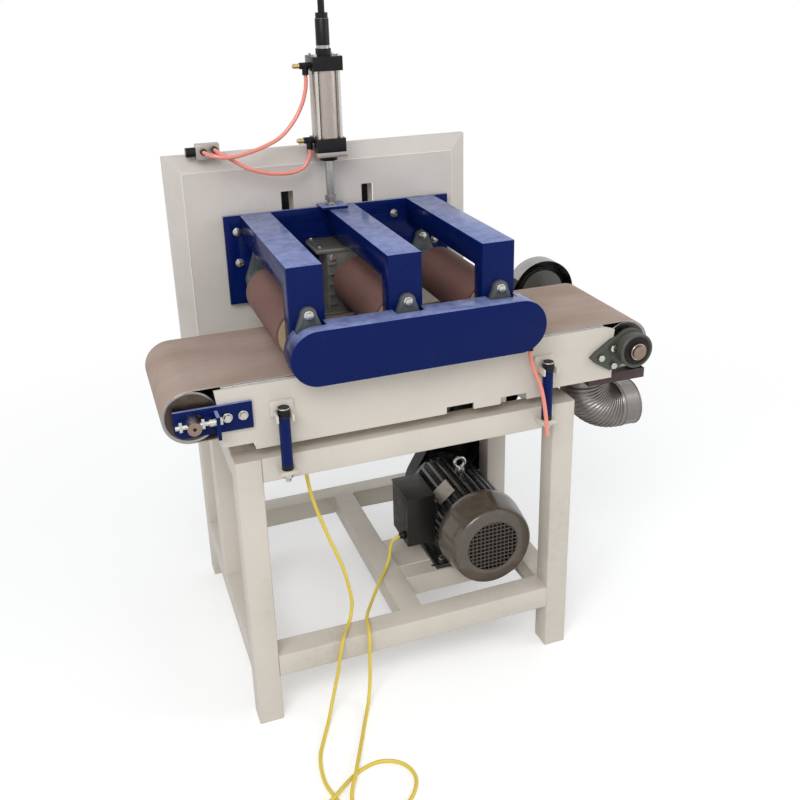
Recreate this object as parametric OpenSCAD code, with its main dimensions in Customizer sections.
// Panel sander: a wide abrasive belt runs over a flat bed, and three driven rollers on a
// carriage press the panel on it and feed it through. An air cylinder lifts the carriage.
// Lengths are in millimetres. The origin is the bottom centre of the machine on its floor.
// Inside the modules X runs from the stand's left side, Y back from its front, Z up.

/* [Stand] */
// Length of the stand along the feed
stand_l = 850; // [845:1:880]
// Depth of the stand from front to back
stand_d = 730; // [722:1:800]
// Height of the top rails
stand_h = 730; // [700:1:760]
// Side of the square steel tube
tube_s = 60; // [58:1:62]
// Wall of the square steel tube
tube_t = 3; // [2:0.5:5]
// Height of the underside of the lower rails
low_z = 128; // [100:1:150]
// Distance from the stand's front to its middle posts
mid_y = 383; // [375:1:390]
// Left side of the first bearer under the rear posts
bearer_x = 243; // [236:1:250]
// Distance between the two rear posts
post_pitch = 218; // [212:1:224]
// Left side of the lower rail that carries the motor rails
low_mid_x = 395; // [380:1:410]

/* [Bed] */
// Distance between the idler and drive roller axes
roller_span = 1074; // [1070:1:1080]
// Overhang of the idler axis past the stand's left side
idler_out = 82; // [80:1:86]
// Height of the roller axes above the stand
roller_rise = 125; // [120:1:130]
// Radius of the idler and drive rollers
roller_r = 59.7; // [58:0.1:61]
// Width of the abrasive belt
belt_w = 320; // [300:1:322]
// Thickness of the abrasive belt
belt_t = 2; // [1:0.5:2.5]
// Gap between the belt and a wall of the bed
belt_side = 6; // [5:0.5:8]
// Thickness of the bed's walls
wall_t = 6; // [4:0.5:8]
// Depth of the bed's walls below the roller axis
wall_drop = 80; // [75:1:85]
// Length of the bed's walls
wall_l = 980; // [972:1:984]
// Thickness of the platen under the belt
platen_t = 10; // [6:0.5:14]
// Side of the bed's cross tubes
cross_s = 40; // [35:1:45]
// Radius of the drive roller's shaft
drive_shaft_r = 17.5; // [15:0.5:20]
// Radius of the idler's shaft
idler_shaft_r = 15; // [12:0.5:16]
// Travel of the idler when the belt is slackened
tension_travel = 8; // [4:1:8]

/* [Feed] */
// Radius of a feed roller over its sleeve
feed_r = 62; // [58:0.5:64]
// Thickness of a feed roller's sleeve
sleeve_t = 6; // [3:0.5:10]
// Length of a feed roller's sleeve
sleeve_l = 325; // [300:1:330]
// Height of the lowered feed rollers above the belt
feed_gap = 14; // [10:1:20]
// Distance between the feed rollers
feed_pitch = 225; // [220:1:230]
// Distance from the stand's left side to the first feed roller
feed_x = 183; // [180:1:186]
// Radius of a feed roller's shaft
feed_shaft_r = 12.5; // [10:0.5:14]
// Radius of the chain sprockets
sprocket_r = 28; // [24:0.5:30]
// Lift of the carriage
lift = 60; // [40:1:62]
// Height of the carriage plate
plate_h = 235; // [230:1:240]
// Thickness of the carriage plate
plate_t = 10; // [8:0.5:12]
// Front of the carriage plate, from the stand's front
plate_y = 490; // [488:1:492]
// Width of the front legs of the arms
leg_w = 80; // [78:1:84]
// Depth of the front legs of the arms
leg_d = 45; // [42:1:48]
// Radius of the front cover's round ends
cover_r = 63; // [60:0.5:64]
// Depth of the front cover
cover_d = 65; // [62:1:68]
// Wall of the front cover
cover_t = 2; // [1:0.5:4]

/* [Back] */
// Width of the back panel
panel_w = 808; // [790:1:820]
// Height of the back panel
panel_h = 590; // [584:1:600]
// Front of the back panel, from the stand's front
panel_y = 512; // [511:1:514]
// Width of the back panel's slanted rim
rim_w = 43; // [36:1:50]
// Depth of the back panel's slanted rim
rim_d = 14; // [10:1:18]
// Thickness of the back panel's sheet
panel_t = 2; // [1.5:0.5:3]
// Height of the rear posts
post_h = 572; // [560:1:580]
// Width of the guide slots in the panel
slot_w = 32; // [30:1:36]

/* [Cylinder] */
// Radius of the air cylinder's bore
bore_r = 31.5; // [28:0.5:32]
// Wall of the air cylinder's barrel
barrel_t = 2.5; // [2:0.5:4]
// Length of the barrel between the heads
barrel_l = 164; // [150:1:180]
// Side of the square heads
head_s = 75; // [74:1:80]
// Height of one head
head_h = 34; // [30:1:40]
// Radius of the piston rod
rod_r = 10; // [8:0.5:12]
// Radius of the rear rod
rear_rod_r = 8; // [6:0.5:9]
// Height of the rear rod above the upper head
rear_rod_h = 154; // [140:1:170]

/* [Drive] */
// Height of the motor axis above its feet
motor_rise = 112; // [110:1:116]
// Distance from the stand's left side to the motor axis
motor_x = 668; // [660:1:676]
// Radius of the motor's finned body
motor_r = 108; // [104:1:110]
// Distance between the motor's feet along its axis
foot_pitch = 140; // [130:1:150]
// Distance between the motor's feet across its axis
foot_span = 190; // [180:1:200]
// Radius of the motor shaft
motor_shaft_r = 14; // [12:0.5:18]
// Radius of the pulley on the motor
motor_pulley_r = 80; // [70:1:86]
// Radius of the pulley on the drive roller
drive_pulley_r = 65; // [60:1:75]
// Radius of the belt guard round the drive pulley
guard_r = 95; // [92:1:96]
// Depth of the belt guard
guard_d = 52; // [50:1:56]

/* [Dust duct] */
// Outer radius of the dust duct
duct_r = 62; // [56:1:64]
// Bend radius of the duct elbow
duct_bend = 100; // [94:1:110]
// Length of the duct's collar
collar_l = 50; // [40:1:60]
// Number of pleats in the elbow
pleats = 14; // [8:1:18]

/* [Cables] */
// Diameter of the power cable
cable_d = 9; // [6:0.5:10]
// Diameter of the air tubes
air_d = 8; // [6:0.5:8]

/* [Hidden] */
$fn = 48;

// Clearances: a shaft in its bore, a surface that runs beside another, a bolt in its hole
fit = 0.05;
run = 0.3;
hole = 0.4;
// Overlap of a cutting solid past the face that it cuts
cut = 1;

// Colours
WARM_WHITE = [0.86, 0.83, 0.78];
BLUE = [0.09, 0.17, 0.50];
STEEL = [0.70, 0.70, 0.70];
DARK_STEEL = [0.34, 0.34, 0.35];
BLACK = [0.06, 0.06, 0.07];
ABRASIVE = [0.50, 0.36, 0.29];
CAST = [0.33, 0.35, 0.31];
ALU = [0.78, 0.78, 0.79];
COPPER_GREY = [0.47, 0.41, 0.38];
RUST_BROWN = [0.32, 0.19, 0.16];
YELLOW = [0.85, 0.75, 0.20];
AIR_RED = [0.93, 0.38, 0.33];
BRASS = [0.72, 0.60, 0.34];

// Heights that follow from the driving sizes
axis_z = stand_h + roller_rise;
belt_in = roller_r + run;
belt_out = belt_in + belt_t;
belt_top = axis_z + belt_out;
feed_z = belt_top + feed_gap + feed_r;
wall_z0 = axis_z - wall_drop;
wall_z1 = belt_top - 5;
plate_z0 = belt_top + 13;
plate_z1 = plate_z0 + plate_h;
motor_z = low_z + tube_s + motor_rise;
panel_z1 = stand_h + panel_h;
beam_z1 = stand_h + post_h;

// Places along the feed
idler_x = -idler_out;
drive_x = idler_x + roller_span;
wall_x0 = -30;
wall_x1 = wall_x0 + wall_l;
panel_x0 = -32;
panel_x1 = panel_x0 + panel_w;
post_x = [bearer_x, bearer_x + post_pitch];
cyl_x = bearer_x + tube_s / 2 + 105;
duct_x = drive_x - 52;

// Places from front to back
in_y0 = wall_t;
belt_y0 = in_y0 + belt_side;
belt_y1 = belt_y0 + belt_w;
in_y1 = belt_y1 + belt_side;
back_y = in_y1 + wall_t;
bearer_y0 = mid_y + tube_s;
post_y = panel_y + 48;
leg_y0 = -5;
leg_y1 = leg_y0 + leg_d;
cover_y1 = leg_y0;
cover_y0 = cover_y1 - cover_d;
sleeve_y0 = leg_y1 + 5;
sleeve_y1 = sleeve_y0 + sleeve_l;
cyl_y = plate_y - 20;
pulley_y0 = bearer_y0 + 7;
pulley_w = 36;

// Ends of the machine's box without the cords, which place the origin
box_x0 = idler_x - belt_out;
box_x1 = duct_x + duct_bend + collar_l;
mid = [(box_x0 + box_x1) / 2, (cover_y0 + stand_d) / 2];

module placed() translate([-mid[0], -mid[1], 0]) children();

// Solids along Y and X, given by their start and their length
module rod_y(x, y, z, r, l, fn = 48) translate([x, y, z]) rotate([-90, 0, 0]) cylinder(h = l, r = r,
    $fn = fn);
module rod_x(x, y, z, r, l, fn = 48) translate([x, y, z]) rotate([0, 90, 0]) cylinder(h = l, r = r,
    $fn = fn);
module rod_z(x, y, z, r, l, fn = 48) translate([x, y, z]) cylinder(h = l, r = r, $fn = fn);
module box(x, y, z) translate([x[0], y[0], z[0]]) cube([x[1] - x[0], y[1] - y[0], z[1] - z[0]]);

// A flat outline in X and Z, given depth along Y from y0
module slab_y(y0, depth) translate([0, y0 + depth, 0]) rotate([90, 0, 0]) linear_extrude(depth) children();

// Square tubes along the three axes, open at their ends
module tube_x(x, y, z, s = tube_s, t = tube_t) difference() {
    box(x, [y, y + s], [z, z + s]);
    box([x[0] - cut, x[1] + cut], [y + t, y + s - t], [z + t, z + s - t]);
}
module tube_y(x, y, z, s = tube_s, t = tube_t) difference() {
    box([x, x + s], y, [z, z + s]);
    box([x + t, x + s - t], [y[0] - cut, y[1] + cut], [z + t, z + s - t]);
}
module tube_z(x, y, z, s = tube_s, t = tube_t) difference() {
    box([x, x + s], [y, y + s], z);
    box([x + t, x + s - t], [y + t, y + s - t], [z[0] + t, z[1] - t]);
}

// The outline round two circles, with straight sides tangent to both
function tangents(a, ra, b, rb) =
    let (d = b - a, turn = atan2(d[1], d[0]), open = acos((ra - rb) / norm(d)))
    [for (s = [-1, 1]) each [a + ra * [cos(turn + s * open), sin(turn + s * open)],
        b + rb * [cos(turn + s * open), sin(turn + s * open)]]];
module capsule(a, ra, b, rb) {
    t = tangents(a, ra, b, rb);
    translate(a) circle(r = ra);
    translate(b) circle(r = rb);
    polygon([t[0], t[1], t[3], t[2]]);
}

// A solid through rings of points that all have the same number of sides
module skin(rings) {
    n = len(rings[0]);
    last = (len(rings) - 1) * n;
    walls = [for (i = [0:len(rings) - 2], k = [0:n - 1]) let (k2 = (k + 1) % n, a = i * n)
        each [[a + k, a + n + k2, a + k2], [a + k, a + n + k, a + n + k2]]];
    ends = [[for (k = [0:n - 1]) k], [for (k = [n - 1:-1:0]) last + k]];
    polyhedron(points = [for (r = rings) each r], faces = concat(walls, ends));
}

// A hexagon head, washer and shank: the head points against the shank along Y
module bolt_y(x, y, z, r, l, washer = true) {
    rod_y(x, y, z, r, l);
    if (washer) rod_y(x, y - r / 2, z, r * 2.2, r / 2);
    rod_y(x, y - r / 2 - r * 1.3, z, r * 1.8, r * 1.3, 6);
}

// Stand
leg_x1 = stand_l - tube_s;
back_leg_y = stand_d - tube_s;
top_z = stand_h - tube_s;
foot_x = [motor_x - foot_span / 2, motor_x + foot_span / 2];
foot_y = [210, 210 + foot_pitch];
foot_slot = 50;
foot_bolt_r = 6;

module stand_legs() color(WARM_WHITE) {
    for (x = [0, leg_x1], y = [0, back_leg_y]) tube_z(x, y, [0, stand_h]);
    for (x = [0, leg_x1]) tube_z(x, mid_y, [low_z + tube_s, top_z]);
}

// Each rail is a tube of its own: a hair of weld parts it from the next
weld_gap = 0.3;
module stand_top_rails() color(WARM_WHITE) {
    for (y = [0, back_leg_y]) tube_x([tube_s, leg_x1], y, top_z);
    tube_x([tube_s + weld_gap, leg_x1 - weld_gap], mid_y, top_z);
    tube_y(0, [tube_s, back_leg_y - weld_gap], top_z);
    tube_y(leg_x1, [tube_s, bearer_y0], top_z);
    for (x = post_x) tube_y(x, [bearer_y0 + weld_gap, back_leg_y - weld_gap], top_z);
}

module stand_lower_rails() color(WARM_WHITE) {
    for (y = [0, back_leg_y]) tube_x([tube_s, leg_x1], y, low_z);
    for (x = [0, low_mid_x, leg_x1]) tube_y(x, [tube_s, back_leg_y], low_z);
}

module motor_rails() color(WARM_WHITE) difference() {
    for (y = foot_y) tube_x([low_mid_x + tube_s, leg_x1], y - tube_s / 2, low_z);
    for (x = foot_x, y = foot_y) {
        translate([x, y, low_z + tube_s - tube_t - cut]) linear_extrude(tube_t + 2 * cut) {
            for (s = [-1, 1]) translate([s * foot_slot / 2, 0]) circle(r = foot_bolt_r + hole);
            square([foot_slot, 2 * (foot_bolt_r + hole)], center = true);
        }
    }
}

// Bed: its walls, cross tubes, ribs, bottom plate and rear feet are welded
cross_x = [110, 350, 610, 750];
cross_z = axis_z - belt_in + 8;
rib_t = 8;
tabs = [[50, 505], [575, 645], [715, 785]];
tab_h = 17;
plate_x = [60, 500];
bottom_y1 = in_y0 + 104;
gland_at = [170, 92];
gland_r = 8;
foot_block = [70, 50];
wall_bolts = [[-7, 850], [27, 850]];
bearing_bolts = [[drive_x - 52, axis_z + 6], [drive_x - 84, axis_z - 15], [drive_x - 48, axis_z - 40]];
wall_bolt_r = 5;

module wall_outline() polygon([[wall_x0, wall_z1], [wall_x1 - 22, wall_z1], [wall_x1 + 2, wall_z1 - 8],
    [wall_x1, wall_z1 - 26], [wall_x1, wall_z0], [wall_x0 + 10, wall_z0], [wall_x0 + 4, wall_z1 - 32]]);

module wall_holes(y0) {
    for (p = wall_bolts) rod_y(p[0], y0 - cut, p[1], wall_bolt_r + hole, wall_t + 2 * cut);
    for (p = bearing_bolts) rod_y(p[0], y0 - cut, p[1], wall_bolt_r + hole, wall_t + 2 * cut);
}

module bed_frame() color(WARM_WHITE) {
    difference() {
        union() {
            slab_y(0, wall_t) wall_outline();
            for (t = tabs) box(t, [0, wall_t], [wall_z0 - tab_h, wall_z0]);
        }
        wall_holes(0);
    }
    difference() {
        union() {
            slab_y(in_y1, wall_t) wall_outline();
            box([wall_x0 + 80, wall_x1 - 110], [back_y, bearer_y0], [wall_z0, wall_z0 + wall_t]);
        }
        wall_holes(in_y1);
    }
    difference() {
        box(plate_x, [in_y0, bottom_y1], [wall_z0, wall_z0 + wall_t]);
        rod_z(gland_at[0], gland_at[1], wall_z0 - cut, gland_r + hole, wall_t + 2 * cut);
    }
    for (x = cross_x) {
        tube_y(x - cross_s / 2, [in_y0, in_y1], cross_z, cross_s);
        box([x - rib_t / 2, x + rib_t / 2], [in_y0, in_y1], [cross_z + cross_s,
            axis_z + belt_in - platen_t]);
        box([x - foot_block[0] / 2, x + foot_block[0] / 2], [bearer_y0 - foot_block[1], bearer_y0],
            [stand_h, wall_z0]);
    }
}

platen_x = [idler_x + roller_r + 8, drive_x - roller_r - 8];
module platen() color(STEEL) box(platen_x, [in_y0, in_y1],
    [axis_z + belt_in - platen_t, axis_z + belt_in]);

module belt_outline(r) {
    for (x = [idler_x, drive_x]) translate([x, axis_z]) circle(r = r, $fn = 96);
    translate([idler_x, axis_z - r]) square([roller_span, 2 * r]);
}
module sanding_belt() color(ABRASIVE) slab_y(belt_y0, belt_w) difference() {
    belt_outline(belt_out);
    belt_outline(belt_in);
}

// Drive roller with its shaft, bearings and pulley
bearing_y0 = -40;
bearing_plate_t = 12;
shaft_front = 15;
module drive_roller() color(STEEL) {
    rod_y(drive_x, belt_y0, axis_z, roller_r, belt_w, 96);
    rod_y(drive_x, bearing_y0 - shaft_front, axis_z, drive_shaft_r,
        pulley_y0 + pulley_w + 4 - bearing_y0 + shaft_front);
}

// One flanged bearing: a plate with three bolts, and a round housing
module bearing_outline() {
    translate([drive_x, axis_z]) circle(r = 47);
    polygon([[drive_x - 110, axis_z - 16], [drive_x - 98, axis_z - 4], [drive_x - 56, axis_z + 24],
        [drive_x - 18, axis_z + 40], [drive_x - 18, axis_z - 42], [drive_x - 56, axis_z - 54],
        [drive_x - 98, axis_z - 28]]);
}
module drive_bearing() difference() {
    union() {
        slab_y(-bearing_plate_t, bearing_plate_t) bearing_outline();
        rod_y(drive_x, bearing_y0, axis_z, 42, -bearing_y0);
    }
    rod_y(drive_x, bearing_y0 - cut, axis_z, drive_shaft_r + fit, 2 * cut - bearing_y0);
    for (p = bearing_bolts) rod_y(p[0], -bearing_plate_t - cut, p[1], wall_bolt_r + hole,
        bearing_plate_t + 2 * cut);
}
module drive_bearings() color(CAST) {
    drive_bearing();
    translate([0, back_y, 0]) mirror([0, 1, 0]) drive_bearing();
}

// Pulleys with two V grooves, turned about Y
groove_w = 13;
groove_d = 13;
vbelt_h = 10;
module pulley(x, z, r, bore) translate([x, pulley_y0, z]) rotate([-90, 0, 0]) difference() {
    cylinder(h = pulley_w, r = r, $fn = 96);
    for (i = [0, 1]) translate([0, 0, 10.5 + 15 * i]) rotate_extrude($fn = 96) polygon([[r - groove_d, -4],
        [r + cut, -groove_w / 2 - 0.5], [r + cut, groove_w / 2 + 0.5], [r - groove_d, 4]]);
    translate([0, 0, -cut]) cylinder(h = pulley_w + 2 * cut, r = bore);
}
module drive_pulley() color(DARK_STEEL) pulley(drive_x, axis_z, drive_pulley_r, drive_shaft_r);
module motor_pulley() color(DARK_STEEL) pulley(motor_x, motor_z, motor_pulley_r, motor_shaft_r);

motor_at = [motor_x, motor_z];
drive_at = [drive_x, axis_z];
module vbelt(y) slab_y(y, 7.4) difference() {
    capsule(motor_at, motor_pulley_r, drive_at, drive_pulley_r);
    capsule(motor_at, motor_pulley_r - vbelt_h, drive_at, drive_pulley_r - vbelt_h);
}
module v_belts() color(BLACK) for (i = [0, 1]) vbelt(pulley_y0 + 10.5 - 3.7 + 15 * i);

// Belt guard: a deep tray that is open to the front and bears on the right middle post
guard_t = 3;
guard_low_r = motor_pulley_r + 18;
module belt_guard() color(DARK_STEEL) {
    slab_y(bearer_y0, guard_d - guard_t) difference() {
        capsule(motor_at, guard_low_r, drive_at, guard_r);
        capsule(motor_at, guard_low_r - guard_t, drive_at, guard_r - guard_t);
    }
    slab_y(bearer_y0 + guard_d - guard_t, guard_t) capsule(motor_at, guard_low_r, drive_at, guard_r);
}

// Idler: the roller turns on a shaft that slides in the brackets' slots
idler_y0 = -50;
bracket_t = 8;
idler_y1 = in_y1 + wall_t + bracket_t + 42;
rod_thread_r = 5;
module idler_roller() color(STEEL) difference() {
    rod_y(idler_x, belt_y0, axis_z, roller_r, belt_w, 96);
    rod_y(idler_x, belt_y0 - cut, axis_z, idler_shaft_r + fit, belt_w + 2 * cut);
}
thread_y = [-30, back_y + 30];
nut_x = [idler_x - 30, idler_x + 17];
nut_h = 6;
module idler_shaft() color(STEEL) {
    difference() {
        rod_y(idler_x, idler_y0, axis_z, idler_shaft_r, idler_y1 - idler_y0);
        for (y = thread_y) rod_x(idler_x - 20, y, axis_z, rod_thread_r + fit, 40);
    }
    for (y = thread_y, x = nut_x) difference() {
        rod_x(x, y, axis_z, 12, nut_h, 6);
        rod_x(x - cut, y, axis_z, rod_thread_r + fit, nut_h + 2 * cut);
    }
}

bracket_x = [idler_x - 39, 48];
bracket_z = [axis_z - 38, axis_z + 25];
lug_x = idler_x + 51;
module bracket() difference() {
    union() {
        slab_y(-bracket_t, bracket_t) polygon([[bracket_x[0], bracket_z[1]], [bracket_x[1], bracket_z[1]],
            [bracket_x[1], bracket_z[0]], [bracket_x[0] + 14, bracket_z[0]], [bracket_x[0],
                bracket_z[0] + 14]]);
        box([lug_x - 4, lug_x + 4], [-44, -bracket_t], [bracket_z[0], axis_z + 16]);
    }
    slab_y(-bracket_t - cut, bracket_t + 2 * cut) {
        for (x = [idler_x, idler_x + tension_travel]) translate([x,
            axis_z]) circle(r = idler_shaft_r + run);
        translate([idler_x, axis_z - idler_shaft_r - run]) square([tension_travel,
            2 * (idler_shaft_r + run)]);
    }
    rod_x(lug_x - 4 - cut, thread_y[0], axis_z, rod_thread_r + run, 8 + 2 * cut);
    for (p = wall_bolts) rod_y(p[0], -bracket_t - cut, p[1], wall_bolt_r + hole, bracket_t + 2 * cut);
}
module tension_brackets() color(BLUE) {
    bracket();
    translate([0, back_y, 0]) mirror([0, 1, 0]) bracket();
}

// Threaded rods with their nuts, carried by the lugs of the brackets
boss_l = 14;
module tension_rods() color(STEEL) for (y = thread_y) {
    rod_x(idler_x - 38, y, axis_z, rod_thread_r, 44 + lug_x - idler_x);
    difference() {
        rod_x(lug_x + 4, y, axis_z, 9, 6, 6);
        rod_x(lug_x + 4 - cut, y, axis_z, rod_thread_r, 6 + 2 * cut);
    }
    difference() {
        rod_x(lug_x - 4 - boss_l, y, axis_z, 8, boss_l);
        rod_x(lug_x - 4 - boss_l - cut, y, axis_z, rod_thread_r, boss_l + 2 * cut);
    }
}

// Dust hood under the drive roller, and the pleated duct elbow under it
hood_x = [drive_x - 102, drive_x + 58];
hood_z = [wall_z0 - 18, wall_z0 + 8];
hood_t = 2;
duct_y = 120;
duct_t = 1.5;
spigot_h = 24;
elbow_z = hood_z[0] - spigot_h;
module dust_hood() color(RUST_BROWN) {
    difference() {
        box(hood_x, [in_y0, in_y1], hood_z);
        box([hood_x[0] + hood_t, hood_x[1] - hood_t], [in_y0 + hood_t, in_y1 - hood_t],
            [hood_z[0] + hood_t, hood_z[1] + cut]);
        rod_z(duct_x, duct_y, hood_z[0] - cut, duct_r - duct_t, hood_t + 2 * cut);
    }
    difference() {
        rod_z(duct_x, duct_y, elbow_z, duct_r - duct_t - fit, spigot_h);
        rod_z(duct_x, duct_y, elbow_z - cut, duct_r - 2 * duct_t - fit, spigot_h + 2 * cut);
    }
}

// The elbow's pleats: rings round the bend, every second one larger
pleat_h = 2.5;
bend_sides = 16;
function bend_ring(a, r) = let (c = duct_bend * [1 - cos(a), -sin(a)])
    [for (k = [0:bend_sides - 1]) let (t = 360 * k / bend_sides)
        [c[0] + r * cos(t) * cos(a), -r * sin(t), c[1] + r * cos(t) * sin(a)]];
module bend_solid(r) skin([for (i = [0:2 * pleats]) bend_ring(45 * i / pleats,
    r + (i % 2 == 1 ? pleat_h : 0))]);
module duct_elbow() color(STEEL) {
    difference() {
        rod_z(duct_x, duct_y, elbow_z, duct_r, spigot_h);
        rod_z(duct_x, duct_y, elbow_z - cut, duct_r - duct_t, spigot_h + 2 * cut);
    }
    translate([duct_x, duct_y, elbow_z]) difference() {
        bend_solid(duct_r - pleat_h);
        bend_solid(duct_r - pleat_h - duct_t);
    }
    difference() {
        rod_x(duct_x + duct_bend, duct_y, elbow_z - duct_bend, duct_r, collar_l);
        rod_x(duct_x + duct_bend - cut, duct_y, elbow_z - duct_bend, duct_r - duct_t, collar_l + 2 * cut);
    }
}

// Struts that hold the free front of the bed, and come off for a belt change
strut_x = [112, 757];
strut_y = -25;
strut_r = 13;
strut_stud_r = 6;
lug_low_z = stand_h - 30;
lug_t = 9;
lug_high_z = axis_z - 17;
module strut_lugs() color(WARM_WHITE) for (x = strut_x) {
    difference() {
        box([x - 20, x + 20], [strut_y - 17, 0], [lug_low_z, lug_low_z + lug_t]);
        rod_z(x, strut_y, lug_low_z - cut, strut_stud_r + hole, lug_t + 2 * cut);
    }
    difference() {
        union() {
            box([x - 28, x + 28], [-8, 0], [lug_high_z, lug_high_z + 39]);
            box([x - 20, x + 20], [strut_y - 17, -8], [lug_high_z, lug_high_z + lug_t]);
        }
        rod_z(x, strut_y, lug_high_z - cut, strut_stud_r + hole, lug_t + 2 * cut);
    }
}
module strut_tubes() color(BLUE) for (x = strut_x) difference() {
    rod_z(x, strut_y, lug_low_z + lug_t, strut_r, lug_high_z - lug_low_z - lug_t);
    rod_z(x, strut_y, lug_low_z + lug_t - cut, strut_r - 3, lug_high_z - lug_low_z - lug_t + 2 * cut);
}

// A round outline with n fins from radius r0 to r1
module fin_outline(r0, r1, n) polygon([for (i = [0:n - 1]) let (a = 360 / n)
    each [r0 * [cos(a * (i - 0.28)), sin(a * (i - 0.28))], r1 * [cos(a * (i - 0.18)), sin(a * (i - 0.18))],
        r1 * [cos(a * (i + 0.18)), sin(a * (i + 0.18))], r0 * [cos(a * (i + 0.28)), sin(a * (i + 0.28))]]]);

// Motor: finned body with feet, cowl, box, eye and rotor
body_y = [160, 415];
bell_y1 = 430;
core_r = motor_r - 10;
air_r = 70;
fins = 30;
foot_t = 12;
box_x0m = motor_x - motor_r - 80;
box_x1m = motor_x - motor_r - fit;
tbox_y = [225, 345];
tbox_z = [motor_z - 45, motor_z + 100];
eye_y = 305;
// Two bolted feet: a plate with a web that ends just under the fins
foot_w = 48;
foot_end = 22;
foot_web_t = 10;
foot_web_x = [foot_x[0] + 11, foot_x[1] - 21];
foot_web_z1 = motor_z - 50;
module motor_feet() difference() {
    union() {
        for (x = foot_x) box([x - foot_w / 2, x + foot_w / 2], [foot_y[0] - foot_end, foot_y[1] + foot_end],
            [low_z + tube_s, low_z + tube_s + foot_t]);
        for (x = foot_web_x) box([x, x + foot_web_t], [foot_y[0] - foot_end, foot_y[1] + foot_end],
            [low_z + tube_s + foot_t, foot_web_z1]);
    }
    rod_y(motor_x, body_y[0], motor_z, motor_r + weld_gap, body_y[1] - body_y[0]);
    for (x = foot_x, y = foot_y) rod_z(x, y, low_z + tube_s - cut, foot_bolt_r + hole, foot_t + 2 * cut);
}
module motor_body() color(COPPER_GREY) {
    difference() {
        union() {
            rod_y(motor_x, body_y[0], motor_z, core_r - 2, 12);
            slab_y(body_y[0] + 10, body_y[1] - body_y[0] - 10) translate(motor_at) fin_outline(core_r,
                motor_r, fins);
            rod_y(motor_x, body_y[1], motor_z, motor_r - 3, bell_y1 - body_y[1]);
            rod_y(motor_x, bell_y1, motor_z, 45, 10);
            box([box_x1m, motor_x - core_r + 6], [tbox_y[0] + 12, tbox_y[1] - 12], [motor_z - 30,
                motor_z + 70]);
            rod_z(motor_x, eye_y, motor_z + core_r - 4, 14, 22);
        }
        rod_y(motor_x, body_y[0] + 20, motor_z, air_r, body_y[1] - body_y[0] - 20);
        rod_y(motor_x, body_y[0] - cut, motor_z, motor_shaft_r + fit, bell_y1 + 12 - body_y[0]);
        rod_z(motor_x, eye_y, motor_z + core_r + 4, 5, 30);
    }
    motor_feet();
}

cowl_y0 = 76;
cowl_r = [112, 122];
grille_r = 74;
cowl_t = 2;
grille_n = 4;
grille_pitch = 16;
module fan_cowl() color(COPPER_GREY) translate([motor_x, cowl_y0, motor_z]) rotate([-90, 0, 0]) {
    rotate_extrude($fn = 72) polygon([[grille_r, 0], [cowl_r[0] - 6, 0], [cowl_r[0], 6], [cowl_r[1], 74],
        [cowl_r[1], 96], [cowl_r[1] - cowl_t, 96], [cowl_r[1] - cowl_t, 74], [cowl_r[0] - cowl_t, 7],
        [cowl_r[0] - 7, cowl_t], [grille_r, cowl_t]]);
    rotate_extrude($fn = 72) translate([motor_r + 0.5, 88]) square([cowl_r[1] - cowl_t - motor_r - 0.5, 6]);
    intersection() {
        cylinder(h = cowl_t, r = grille_r + cut);
        for (i = [-grille_n:grille_n], a = [0, 90]) rotate([0, 0, a]) translate([i * grille_pitch - 1,
            -90, 0])
            cube([2, 180, cowl_t]);
    }
}

module terminal_box() color(COPPER_GREY) {
    difference() {
        box([box_x0m, box_x1m], tbox_y, tbox_z);
        box([box_x0m + 3, box_x1m - 3], [tbox_y[0] + 3, tbox_y[1] - 3], [tbox_z[0] + 3, tbox_z[1] + cut]);
        rod_x(box_x0m - cut, 250, motor_z - 20, gland_r + hole, 3 + 2 * cut);
    }
    box([box_x0m - 2, box_x1m], [tbox_y[0] - 2, tbox_y[1] + 2], [tbox_z[1], tbox_z[1] + 5]);
}

// A cable gland: its thread, hexagon and dome, along Z from the panel outwards
module gland(bore) difference() {
    union() {
        translate([0, 0, -9]) cylinder(h = 9, r = gland_r);
        cylinder(h = 6, r = 12, $fn = 6);
        translate([0, 0, 6]) cylinder(h = 10, r1 = 10.5, r2 = 8);
    }
    translate([0, 0, -9 - cut]) cylinder(h = 25 + 2 * cut, r = bore);
}
module cable_glands() color(BLACK) {
    translate([gland_at[0], gland_at[1], wall_z0]) rotate([180, 0, 0]) gland(cable_d / 2);
    translate([box_x0m, 250, motor_z - 20]) rotate([0, -90, 0]) gland(cable_d / 2);
}

module eye_bolt() color(DARK_STEEL) translate([motor_x, eye_y, motor_z + core_r + 18]) {
    cylinder(h = 6, r = 13);
    translate([0, 0, -14]) cylinder(h = 15, r = 5 - fit);
    translate([0, 0, 22]) rotate([90, 0, 0]) rotate_extrude() translate([15, 0]) circle(r = 4.5, $fn = 24);
    translate([0, 0, 5]) cylinder(h = 5, r = 6);
}

module motor_rotor() color(STEEL) {
    rod_y(motor_x, cowl_y0 + 24, motor_z, motor_shaft_r, pulley_y0 + pulley_w + 4 - cowl_y0 - 24);
    rod_y(motor_x, body_y[0] + 32, motor_z, air_r - 1, 200);
    rod_y(motor_x, cowl_y0 + 26, motor_z, 92, 4);
    for (i = [0:6]) translate([motor_x, cowl_y0 + 30, motor_z]) rotate([0, 360 * i / 7, 0])
        translate([-1.5, 0, motor_shaft_r - cut]) cube([3, 36, 92 - motor_shaft_r]);
}

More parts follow.
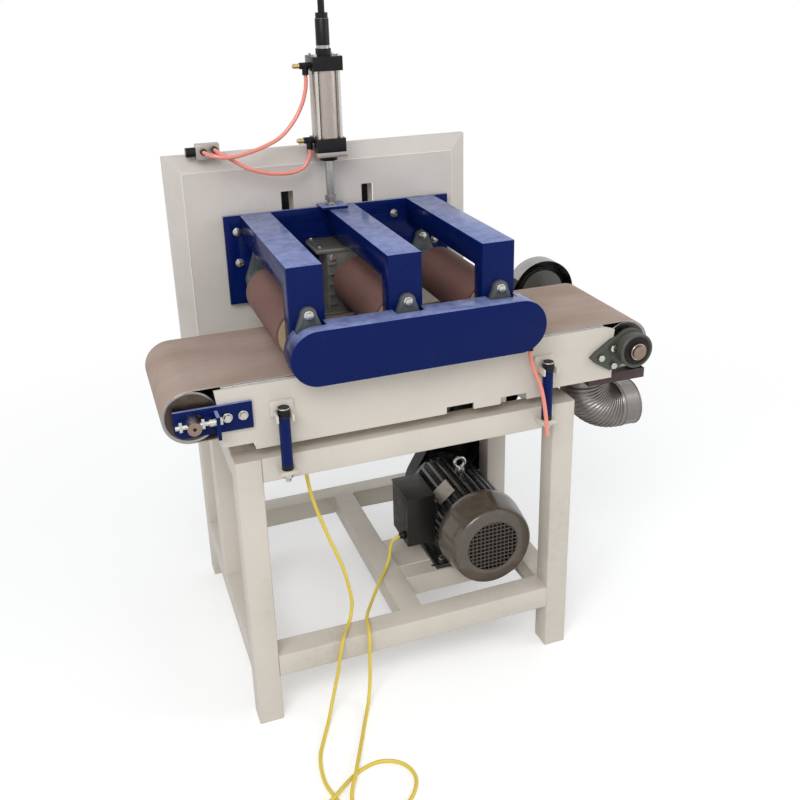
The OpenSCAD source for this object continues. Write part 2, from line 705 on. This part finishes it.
// Every bolt of the standing frame
module machine_bolts() color(STEEL) {
    for (p = wall_bolts) {
        bolt_y(p[0], -bracket_t, p[1], wall_bolt_r, bracket_t + wall_t);
        translate([0, back_y, 0]) mirror([0, 1, 0]) bolt_y(p[0], -bracket_t, p[1], wall_bolt_r,
            bracket_t + wall_t);
    }
    for (p = bearing_bolts) {
        bolt_y(p[0], -bearing_plate_t, p[1], wall_bolt_r, bearing_plate_t + wall_t, false);
        translate([0, back_y, 0]) mirror([0, 1, 0])
            bolt_y(p[0], -bearing_plate_t, p[1], wall_bolt_r, bearing_plate_t + wall_t, false);
    }
    for (x = foot_x, y = foot_y) {
        rod_z(x, y, low_z + tube_s - tube_t - 10, foot_bolt_r, foot_t + tube_t + 10);
        rod_z(x, y, low_z + tube_s + foot_t, 10, 8, 6);
        difference() {
            rod_z(x, y, low_z + tube_s - tube_t - 10, 10, 10, 6);
            rod_z(x, y, low_z + tube_s - tube_t - 10 - cut, foot_bolt_r, 10 + 2 * cut);
        }
    }
    for (x = strut_x) {
        rod_z(x, strut_y, lug_low_z - 22, strut_stud_r, lug_high_z + lug_t - lug_low_z + 22);
        rod_z(x, strut_y, lug_high_z + lug_t, 14, 13);
        difference() {
            rod_z(x, strut_y, lug_low_z - 13, 11, 13, 6);
            rod_z(x, strut_y, lug_low_z - 13 - cut, strut_stud_r, 13 + 2 * cut);
        }
    }
}

// Back panel: a tray with a slanted rim, slots for the guides and an opening for the motor
slot_z = [plate_z0 + 8, stand_h + 480];
neck_r = 40;
neck_x = cyl_x + 4;
neck_z = [feed_z - neck_r - 4, feed_z + neck_r + lift + 4];
rim_back = panel_y + rim_d;
// The tray's outer shape, t inside its own outline from behind
module tray(t) intersection() {
    translate([0, 0, stand_h - t]) linear_extrude(panel_h + 2 * cut) polygon([[panel_x0 + rim_w,
        panel_y + t],
        [panel_x1 - rim_w, panel_y + t], [panel_x1, rim_back + t], [panel_x0, rim_back + t]]);
    translate([panel_x0 - cut, 0, 0]) rotate([90, 0, 90]) linear_extrude(panel_w + 2 * cut)
        polygon([[panel_y + t, stand_h - t], [panel_y + t, panel_z1 - rim_w], [rim_back + t, panel_z1],
            [rim_back + t, stand_h - t]]);
}
module back_panel() color(WARM_WHITE) {
    difference() {
        tray(0);
        tray(panel_t);
        for (x = post_x) box([x + tube_s / 2 - slot_w / 2, x + tube_s / 2 + slot_w / 2],
            [panel_y - cut, rim_back], slot_z);
        box([neck_x - neck_r - 4, neck_x + neck_r + 4], [panel_y - cut, rim_back], neck_z);
        box([cyl_x - 42, cyl_x + 42], [panel_y - cut, rim_back + cut], [beam_z1 - 1, panel_z1 + cut]);
    }
    difference() {
        box([panel_x0, panel_x1], [rim_back, rim_back + 20], [stand_h, panel_z1]);
        box([panel_x0 + panel_t, panel_x1 - panel_t], [rim_back - cut, rim_back + 20 + cut],
            [stand_h - cut, panel_z1 - panel_t]);
        box([cyl_x - 42, cyl_x + 42], [rim_back - cut, rim_back + 20 + cut], [beam_z1 - 1, panel_z1 + cut]);
    }
}

// Posts behind the panel, the beam between them, and the rails of the carriage guides
module rear_posts() color(WARM_WHITE) {
    for (x = post_x) tube_z(x, post_y, [stand_h, beam_z1]);
    tube_x([post_x[0] + tube_s, post_x[1]], post_y, beam_z1 - tube_s);
}
rail_w = 20;
rail_t = 18;
module guide_rails() color(STEEL) for (x = post_x)
    box([x + tube_s / 2 - rail_w / 2, x + tube_s / 2 + rail_w / 2], [post_y - rail_t, post_y],
        [plate_z0 - 10, beam_z1 - 66]);

// Air cylinder on a plate that lies on the beam
nose_r = 22.4;
nose_h = 24;
bracket_z0 = beam_z1;
bracket_h = 12;
cyl_z0 = bracket_z0 + bracket_h;
barrel_z0 = cyl_z0 + head_h;
barrel_z1 = barrel_z0 + barrel_l;
cyl_z1 = barrel_z1 + head_h;
tie_at = 28.25;
tie_r = 4;
module cylinder_bracket() color(ALU) difference() {
    box([cyl_x - 39, cyl_x + 39], [cyl_y - 38, post_y + tube_s], [bracket_z0, cyl_z0]);
    rod_z(cyl_x, cyl_y, bracket_z0 - cut, nose_r + run, bracket_h + 2 * cut);
}
module head(z) difference() {
    box([cyl_x - head_s / 2, cyl_x + head_s / 2], [cyl_y - head_s / 2, cyl_y + head_s / 2], [z,
        z + head_h]);
    for (sx = [-1, 1], sy = [-1, 1]) rod_z(cyl_x + sx * tie_at, cyl_y + sy * tie_at, z - cut,
        tie_r + fit, head_h + 2 * cut);
}
module cylinder_heads() color(BLACK) {
    difference() {
        union() {
            head(cyl_z0);
            rod_z(cyl_x, cyl_y, cyl_z0 - nose_h, nose_r, nose_h);
        }
        rod_z(cyl_x, cyl_y, cyl_z0 - nose_h - cut, rod_r + fit, nose_h + head_h + 2 * cut);
    }
    difference() {
        union() {
            head(barrel_z1);
            rod_z(cyl_x, cyl_y, cyl_z1, 19, 17);
        }
        rod_z(cyl_x, cyl_y, barrel_z1 - cut, rear_rod_r + fit, head_h + 17 + 2 * cut);
    }
}
module cylinder_barrel() color(ALU) difference() {
    rod_z(cyl_x, cyl_y, barrel_z0, bore_r + barrel_t, barrel_l, 72);
    rod_z(cyl_x, cyl_y, barrel_z0 - cut, bore_r, barrel_l + 2 * cut, 72);
}
module tie_rods() color(STEEL) for (sx = [-1, 1], sy = [-1, 1])
    rod_z(cyl_x + sx * tie_at, cyl_y + sy * tie_at, cyl_z0, tie_r, cyl_z1 - cyl_z0 + 5);

// Air fittings: a speed control on each head, the ports of the valve and the supply elbow
fitting_x = cyl_x - head_s / 2;
fit_z = [cyl_z1 - 22, cyl_z0 + 29];
elbow_x = fitting_x - 10.5;
knob_r = 6;
knob_x1 = fitting_x - 26;
port_at = [[66, 1333], [93, 1337]];
valve_y0 = 490;
supply_at = [712, -16];
supply_z = 893;
module air_fittings() color(DARK_STEEL) {
    for (z = fit_z) difference() {
        union() {
            rod_x(knob_x1 + 1, cyl_y, z, 8, fitting_x - knob_x1 - 1);
            rod_z(elbow_x, cyl_y, z - 22, air_d / 2 + 4, 22);
        }
        rod_z(elbow_x, cyl_y, z - 22 - cut, air_d / 2, 12 + cut);
        rod_x(knob_x1 + 1 - cut, cyl_y, z, 3 + fit, 10 + cut);
    }
    for (p = port_at) difference() {
        rod_y(p[0], valve_y0 - 16, p[1], air_d / 2 + 4, 16);
        rod_y(p[0], valve_y0 - 16 - cut, p[1], air_d / 2, 10 + cut);
    }
    difference() {
        union() {
            rod_z(supply_at[0], supply_at[1], supply_z, air_d / 2 + 4, 16);
            rod_y(supply_at[0], supply_at[1], supply_z + 10, 7, -supply_at[1]);
        }
        rod_z(supply_at[0], supply_at[1], supply_z - cut, air_d / 2, 8 + cut);
    }
}
module flow_knob(z) {
    rod_x(knob_x1 - 14, cyl_y, z, knob_r, 14);
    rod_x(knob_x1 - 1, cyl_y, z, 3, 10);
    rod_x(knob_x1 - 17, cyl_y, z, knob_r - 2, 4);
}
module flow_knob_upper() color(BRASS) flow_knob(fit_z[0]);
module flow_knob_lower() color(BRASS) flow_knob(fit_z[1]);

// Lift valve on the panel's top edge
valve_x = [49, 107];
valve_z = [1312, 1350];
valve_z_knob = 1331;
module valve_block() color(ALU) {
    difference() {
        box(valve_x, [valve_y0, valve_y0 + 24], valve_z);
        rod_x(valve_x[0] - cut, valve_y0 + 12, valve_z_knob, 6 + fit, 14 + cut);
    }
    box([valve_x[0] + 4, valve_x[1] - 4], [valve_y0 + 24, rim_back + 18], [panel_z1, panel_z1 + 4]);
}
module valve_knob() color(BLACK) {
    rod_x(valve_x[0] - 24, valve_y0 + 12, valve_z_knob, 12, 23);
    rod_x(valve_x[0] - 2, valve_y0 + 12, valve_z_knob, 6, 14);
}

// Rod with its piston, the foot on the carriage, and the stop sleeve on the rear rod
piston_z = barrel_z0 + 16;
piston_h = 20;
arm_z0 = plate_z1 - tube_s;
foot_h = 8;
rod_z0 = plate_z1 + foot_h;
sleeve_r = 16.5;
stop_z0 = cyl_z1 + 24;
module nut_z(z, r, h, bore) difference() {
    rod_z(cyl_x, cyl_y, z, r, h, 6);
    rod_z(cyl_x, cyl_y, z - cut, bore, h + 2 * cut);
}
module piston_rod() color(STEEL) {
    rod_z(cyl_x, cyl_y, rod_z0, rod_r, piston_z - rod_z0);
    rod_z(cyl_x, cyl_y, piston_z, bore_r - fit, piston_h, 72);
    rod_z(cyl_x, cyl_y, piston_z + piston_h, rear_rod_r, cyl_z1 + rear_rod_h - piston_z - piston_h);
    nut_z(rod_z0 + 13, 15, 12, rod_r);
    difference() {
        rod_z(cyl_x, cyl_y, rod_z0, 17, 5);
        rod_z(cyl_x, cyl_y, rod_z0 - cut, rod_r, 5 + 2 * cut);
    }
    difference() {
        rod_z(cyl_x, cyl_y, cyl_z1 + 17, sleeve_r, 7);
        rod_z(cyl_x, cyl_y, cyl_z1 + 17 - cut, rear_rod_r, 7 + 2 * cut);
    }
    difference() {
        rod_z(cyl_x, cyl_y, stop_z0, sleeve_r, 63);
        rod_z(cyl_x, cyl_y, stop_z0 - cut, rear_rod_r, 63 + 2 * cut);
    }
    nut_z(stop_z0 + 63, 14, 13, rear_rod_r);
}

// Carriage: the plate, arms, guides, cover, bearings, reducer and motor rise together
plate_x0 = 100;
plate_x1 = 712;
plate_y1 = plate_y + plate_t;
roller_x = [for (i = [0:2]) feed_x + i * feed_pitch];
leg_x = [for (x = roller_x) x - 41];
body_x = [roller_x[1] - 70, roller_x[1] + 70];
red_y = [385, plate_y - 15];
base_z = feed_z - 90;
lid_z = feed_z + 77;
flange_bolt = 65;
flange_r = 18;
flange_t = 28;
cb_r = 5;
plate_bolts = [[132, plate_z1 - 42], [132, plate_z1 - 124], [557, plate_z1 - 38], [672, plate_z1 - 123]];
module carriage_plate() color(BLUE) difference() {
    box([plate_x0, plate_x1], [plate_y, plate_y1], [plate_z0, plate_z1]);
    rod_y(neck_x, plate_y - cut, feed_z, neck_r + run, plate_t + 2 * cut);
    for (p = plate_bolts) rod_y(p[0], plate_y - cut, p[1], cb_r + hole, plate_t + 2 * cut);
    for (i = [0, 2], s = [-1, 1]) rod_y(roller_x[i], plate_y - cut, feed_z + s * flange_bolt,
        cb_r + hole, plate_t + 2 * cut);
}

guide_z = [[plate_z0 + 20, plate_z0 + 80], [plate_z0 + 155, plate_z0 + 215]];
module guide_blocks() color(DARK_STEEL) for (x = post_x, z = guide_z) difference() {
    xm = x + tube_s / 2;
    union() {
        box([xm - 22, xm + 22], [panel_y + rim_d + 4, post_y - 5], z);
        box([xm - slot_w / 2 + 2, xm + slot_w / 2 - 2], [plate_y1, panel_y + rim_d + 4], z);
    }
    box([xm - rail_w / 2 - run, xm + rail_w / 2 + run], [post_y - rail_t - run, post_y], [z[0] - cut,
        z[1] + cut]);
}

arm_x0 = 3;
web_t = 8;
module arm(x) difference() {
    union() {
        tube_y(x + arm_x0, [leg_y1, plate_y], arm_z0);
        difference() {
            box([x, x + leg_w], [leg_y0, leg_y1], [plate_z0 - 5, plate_z1]);
            box([x + tube_t, x + leg_w - tube_t], [leg_y0 + tube_t, leg_y1 - tube_t],
                [plate_z0 - 5 + tube_t, plate_z1 - tube_t]);
        }
    }
    rod_y(x + 41, leg_y0 - cut, feed_z, feed_shaft_r + 4, leg_d + 2 * cut);
    for (s = [-1, 1]) rod_y(x + 41, leg_y0 - cut, feed_z + s * flange_bolt, cb_r + hole, tube_t + 2 * cut);
}
web_l = 60;
web_drop = 26;
module carriage_arms() color(BLUE) {
    for (x = leg_x) arm(x);
    for (i = [0, 2]) translate([leg_x[i] + 29, 0, 0]) rotate([90, 0, 90]) linear_extrude(web_t)
        polygon([[plate_y - web_l, arm_z0], [plate_y, arm_z0], [plate_y, arm_z0 - web_drop]]);
    box([cyl_x - 31, leg_x[1] + 50], [plate_y - 45, plate_y1 + 4], [plate_z1, rod_z0]);
}

cover_z = feed_z - 16;
cover_x = [roller_x[0] + 6, roller_x[2] + 29];
notch_w = 66;
module cover_outline(r) {
    for (x = cover_x) translate([x, cover_z]) circle(r = r, $fn = 96);
    translate([cover_x[0], cover_z - r]) square([cover_x[1] - cover_x[0], 2 * r]);
}
module front_cover() color(BLUE) difference() {
    slab_y(cover_y0, cover_d) cover_outline(cover_r);
    slab_y(cover_y0 + cover_t, cover_d) cover_outline(cover_r - cover_t);
    for (x = roller_x) box([x - notch_w / 2, x + notch_w / 2], [leg_y0 - flange_t - 2, leg_y0 + cut],
        [cover_z - cover_r - cut, cover_z + cover_r + cut]);
}

// Rhombic flange bearings with a round nose
module flange_bearing(x, y) difference() {
    union() {
        slab_y(y - 12, 12) {
            for (s = [-1, 1]) translate([x, feed_z + s * flange_bolt]) circle(r = flange_r);
            translate([x, feed_z]) circle(r = 40);
            polygon([[x - 39, feed_z + 8], [x - 14, feed_z + flange_bolt + 11], [x + 14,
                feed_z + flange_bolt + 11],
                [x + 39, feed_z + 8], [x + 39, feed_z - 8], [x + 14, feed_z - flange_bolt - 11],
                [x - 14, feed_z - flange_bolt - 11], [x - 39, feed_z - 8]]);
        }
        rod_y(x, y - flange_t, feed_z, 30, flange_t);
    }
    rod_y(x, y - flange_t - cut, feed_z, feed_shaft_r + fit, flange_t + 2 * cut);
    for (s = [-1, 1]) rod_y(x, y - 12 - cut, feed_z + s * flange_bolt, cb_r + hole, 12 + 2 * cut);
}
module roller_bearings() color(ALU) {
    for (x = roller_x) flange_bearing(x, leg_y0);
    for (i = [0, 2]) flange_bearing(roller_x[i], plate_y);
}

module reducer() color(CAST) difference() {
    union() {
        box(body_x, red_y, [base_z + 8, lid_z]);
        box([body_x[0] - 20, body_x[1] + 2], [red_y[0] - 10, plate_y], [base_z, base_z + 8]);
        box([body_x[0] - 29, body_x[1] + 2], [red_y[0] - 5, plate_y], [lid_z, lid_z + 10]);
        rod_y(neck_x, red_y[1], feed_z, neck_r, panel_y + rim_d + 4 - red_y[1]);
        rod_y(roller_x[1], red_y[0] - 8, feed_z, 32, 8);
    }
    rod_y(roller_x[1], red_y[0] - 8 - cut, feed_z, feed_shaft_r + fit, 70);
}
fm_y0 = panel_y + rim_d + 4;
fm_r = 62;
fm_flange = 12;
fm_fin_l = 120;
fm_cowl_l = 52;
fm_fins = 20;
module feed_motor() color(COPPER_GREY) {
    rod_y(neck_x, fm_y0, feed_z, fm_r, fm_flange);
    slab_y(fm_y0 + fm_flange, fm_fin_l) translate([neck_x, feed_z]) fin_outline(fm_r - 6, fm_r - 1,
        fm_fins);
    rod_y(neck_x, fm_y0 + fm_flange + fm_fin_l, feed_z, fm_r - 2, fm_cowl_l);
}

// Chain round the sprockets at the front ends of the rollers, inside the cover
chain_y = [-54, -44];
module chain_outline(r) {
    for (i = [0, 2]) translate([roller_x[i], feed_z]) circle(r = r);
    translate([roller_x[0], feed_z - r]) square([2 * feed_pitch, 2 * r]);
}
module drive_chain() color(DARK_STEEL) slab_y(chain_y[0], chain_y[1] - chain_y[0]) difference() {
    chain_outline(sprocket_r + run + 7);
    chain_outline(sprocket_r + run);
}

module carriage_bolts() color(STEEL) {
    for (x = roller_x, s = [-1, 1]) bolt_y(x, leg_y0 - 12, feed_z + s * flange_bolt, cb_r, 12 + tube_t);
    for (i = [0, 2], s = [-1, 1]) bolt_y(roller_x[i], plate_y - 12, feed_z + s * flange_bolt, cb_r,
        12 + plate_t);
    for (p = plate_bolts) bolt_y(p[0], plate_y, p[1], cb_r, plate_t);
}

// Feed rollers and their sleeves
roller_y0 = -58;
module feed_roller(i) color(STEEL) {
    x = roller_x[i];
    rod_y(x, sleeve_y0, feed_z, feed_r - sleeve_t, sleeve_l, 72);
    rod_y(x, roller_y0, feed_z, feed_shaft_r, (i == 1 ? red_y[0] + 55 : plate_y - 1) - roller_y0);
    rod_y(x, chain_y[0] + 1, feed_z, sprocket_r, chain_y[1] - chain_y[0] - 2);
}
module roller_sleeve(i) color(ABRASIVE) difference() {
    rod_y(roller_x[i], sleeve_y0, feed_z, feed_r, sleeve_l, 96);
    rod_y(roller_x[i], sleeve_y0 - cut, feed_z, feed_r - sleeve_t, sleeve_l + 2 * cut, 72);
}

// Cords: a tube swept along points that were chosen by hand
power_route = [[170, 92, 759], [170, 91, 735], [172, 86, 680], [184, 74, 570], [216, 68, 455],
    [250, 66, 350], [268, 66, 250], [262, 60, 206], [245, 36, 193], [226, 8, 192], [212, -10, 170],
    [205, -12, 120], [192, -16, 70], [176, -30, 26], [158, -60, 6], [135, -105, 4.5],
    [108, -165, 4.5], [100, -240, 4.5], [116, -312, 4.5], [118, -356, 4.5], [88, -380, 4.5],
    [62, -348, 4.5], [80, -306, 6], [112, -288, 13.5], [150, -255, 7], [190, -232, 4.5],
    [238, -225, 4.5], [284, -250, 4.5], [298, -300, 4.5], [266, -352, 4.5], [202, -388, 4.5],
    [150, -362, 4.5], [143, -305, 5], [172, -243, 13.5], [236, -101, 4.5], [270, -30, 8],
    [284, -11, 60], [286, -9, 130], [290, 8, 190], [302, 56, 192], [334, 120, 180],
    [376, 178, 190], [420, 232, 194], [444, 248, 230], [452, 250, 272], [464, 250, 280]];
upper_route = [[330, 470, 1502], [330, 470, 1486], [327, 470, 1464], [315, 468, 1430],
    [292, 466, 1393], [256, 462, 1358], [215, 455, 1340], [166, 444, 1328], [134, 434, 1324],
    [106, 431, 1325], [78, 442, 1330], [66, 471, 1333], [66, 474, 1333]];
lower_route = [[330, 470, 1321], [329, 470, 1304], [314, 469, 1279], [290, 467, 1268],
    [262, 465, 1266], [223, 462, 1270], [172, 456, 1286], [138, 451, 1307], [115, 449, 1323],
    [99, 456, 1333], [93, 472, 1337], [93, 474, 1337]];
supply_route = [[712, -16, 893], [713, -17, 876], [720, -24, 846], [733, -38, 800], [740, -50, 740],
    [742, -60, 682]];

function unit(v) = v / norm(v);
function along(p, i) = unit(p[min(i + 1, len(p) - 1)] - p[max(i - 1, 0)]);
function across(p, i) = let (t = along(p, i), up = abs(t[2]) > 0.9 ? [0, 1, 0] : [0, 0, 1])
    unit(cross(t, unit(cross(up, t))));
function ring(p, i, r, sides) = let (t = along(p, i), u = across(p, i), v = cross(t, u))
    [for (k = [0:sides - 1]) let (a = 360 * k / sides) p[i] + r * (cos(a) * u + sin(a) * v)];
module sweep(p, r, sides) skin([for (i = [0:len(p) - 1]) ring(p, i, r, sides)]);
module power_cable() color(YELLOW) sweep(power_route, cable_d / 2, 8);
module air_tube_upper() color(AIR_RED) sweep(upper_route, air_d / 2, 8);
module air_tube_lower() color(AIR_RED) sweep(lower_route, air_d / 2, 8);
module air_supply_tube() color(AIR_RED) sweep(supply_route, air_d / 2, 8);

placed() {
    stand_legs();
    stand_top_rails();
    stand_lower_rails();
    motor_rails();
    bed_frame();
    platen();
    sanding_belt();
    drive_roller();
    drive_bearings();
    drive_pulley();
    v_belts();
    belt_guard();
    idler_roller();
    idler_shaft();
    tension_brackets();
    tension_rods();
    dust_hood();
    duct_elbow();
    strut_lugs();
    strut_tubes();
    motor_body();
    fan_cowl();
    terminal_box();
    cable_glands();
    eye_bolt();
    motor_rotor();
    motor_pulley();
    machine_bolts();
    back_panel();
    rear_posts();
    guide_rails();
    cylinder_bracket();
    cylinder_heads();
    cylinder_barrel();
    tie_rods();
    air_fittings();
    flow_knob_upper();
    flow_knob_lower();
    valve_block();
    valve_knob();
    piston_rod();
    carriage_plate();
    guide_blocks();
    carriage_arms();
    front_cover();
    roller_bearings();
    reducer();
    feed_motor();
    drive_chain();
    carriage_bolts();
    feed_roller(0);  // feed_roller_1
    feed_roller(1);  // feed_roller_2
    feed_roller(2);  // feed_roller_3
    roller_sleeve(0);  // roller_sleeve_1
    roller_sleeve(1);  // roller_sleeve_2
    roller_sleeve(2);  // roller_sleeve_3
    power_cable();
    air_tube_upper();
    air_tube_lower();
    air_supply_tube();
}
